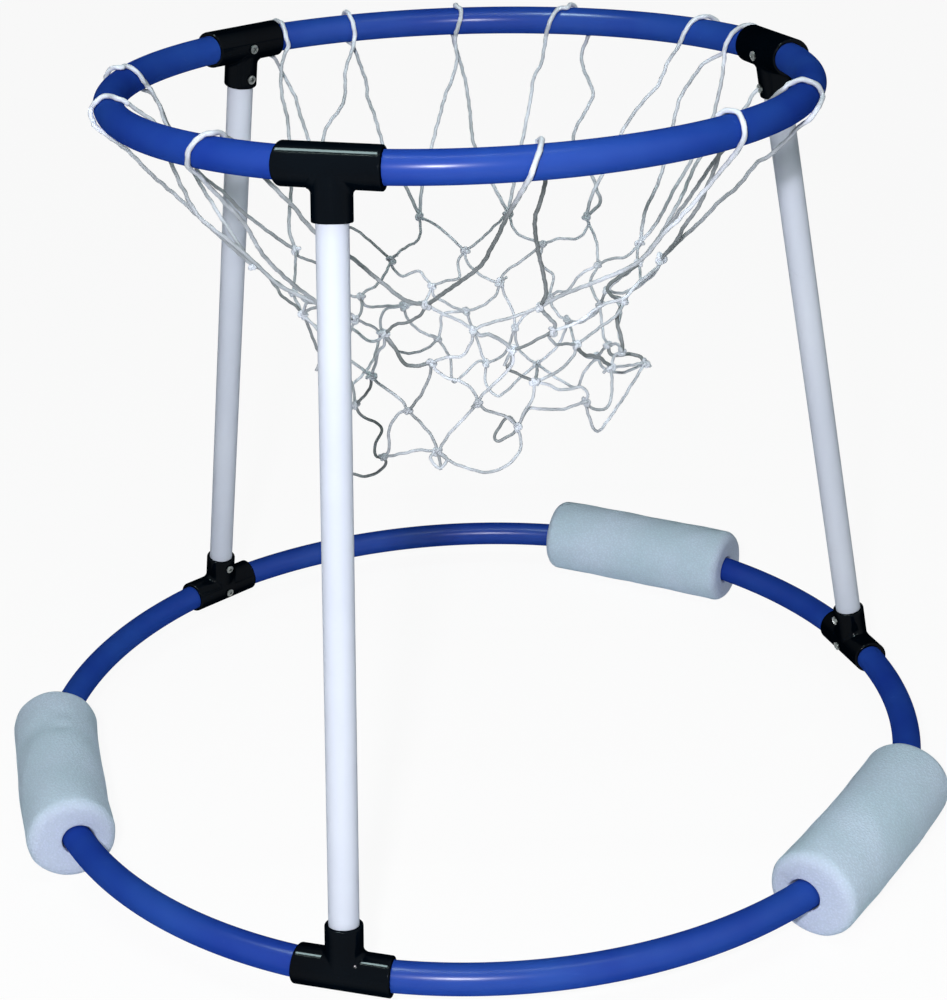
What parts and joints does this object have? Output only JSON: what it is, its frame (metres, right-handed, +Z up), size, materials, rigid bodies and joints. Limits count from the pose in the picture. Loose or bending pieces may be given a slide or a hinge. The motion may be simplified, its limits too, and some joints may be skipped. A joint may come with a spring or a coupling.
{
  "type": "floating basketball hoop",
  "caption": "Pool basketball hoop: a netted upper ring on raked pipes over a wider lower ring that carries sliding foam floats.",
  "frame": {"origin": "centre of the bounding box at floor level, under the floats; the two rings' common upright axis is at x = 12.3 mm, y = -5.9 mm", "axes": "+Z up through the rings, +Y away from the viewer of the picture, +X to the viewer's right; the leg nearest the viewer is on the -Y side"},
  "size_m": [0.746, 0.7334, 0.5732],
  "materials": {
    "blue_tube": "glossy blue polyethylene",
    "white_pipe": "smooth white rigid pipe",
    "black_tee": "glossy black moulding",
    "grey_plug": "plain grey rod, hidden",
    "screw": "bright zinc plating",
    "foam": "pale closed-cell foam with a fine grain",
    "cord": "white twisted cord"
  },
  "bodies": {
    "frame": {"upper_hoop": "blue_tube", "lower_hoop": "blue_tube", "upper_hoop_plug": "grey_plug", "lower_hoop_plug": "grey_plug", "leg_front": "white_pipe", "leg_right": "white_pipe", "leg_left": "white_pipe", "upper_tee_front": "black_tee", "upper_tee_right": "black_tee", "upper_tee_left": "black_tee", "lower_tee_front": "black_tee", "lower_tee_right": "black_tee", "lower_tee_left": "black_tee", "upper_front_run_screw": "screw", "upper_front_stem_screw": "screw", "upper_right_run_screw": "screw", "upper_right_stem_screw": "screw", "upper_left_run_screw": "screw", "upper_left_stem_screw": "screw", "lower_front_run_screw": "screw", "lower_front_stem_screw": "screw", "lower_right_run_screw": "screw", "lower_right_stem_screw": "screw", "lower_left_run_screw": "screw", "lower_left_stem_screw": "screw", "net": "cord"},
    "left_float": {"float_left": "foam"},
    "right_float": {"float_right": "foam"},
    "back_float": {"float_back": "foam"}
  },
  "joints": [
    {"name": "left_float_slides_round_hoop", "type": "hinge", "parent": "frame", "child": "left_float", "pos_m": [0.01232, -0.00594, 0.03358], "axis": [0, 0, 1], "range_deg": [-39.4, 38.5]},
    {"name": "right_float_slides_round_hoop", "type": "hinge", "parent": "frame", "child": "right_float", "pos_m": [0.01232, -0.00594, 0.03358], "axis": [0, 0, 1], "range_deg": [-49.9, 30.9]},
    {"name": "back_float_slides_round_hoop", "type": "hinge", "parent": "frame", "child": "back_float", "pos_m": [0.01232, -0.00594, 0.03358], "axis": [0, 0, 1], "range_deg": [-22.8, 51.9]}
  ]
}
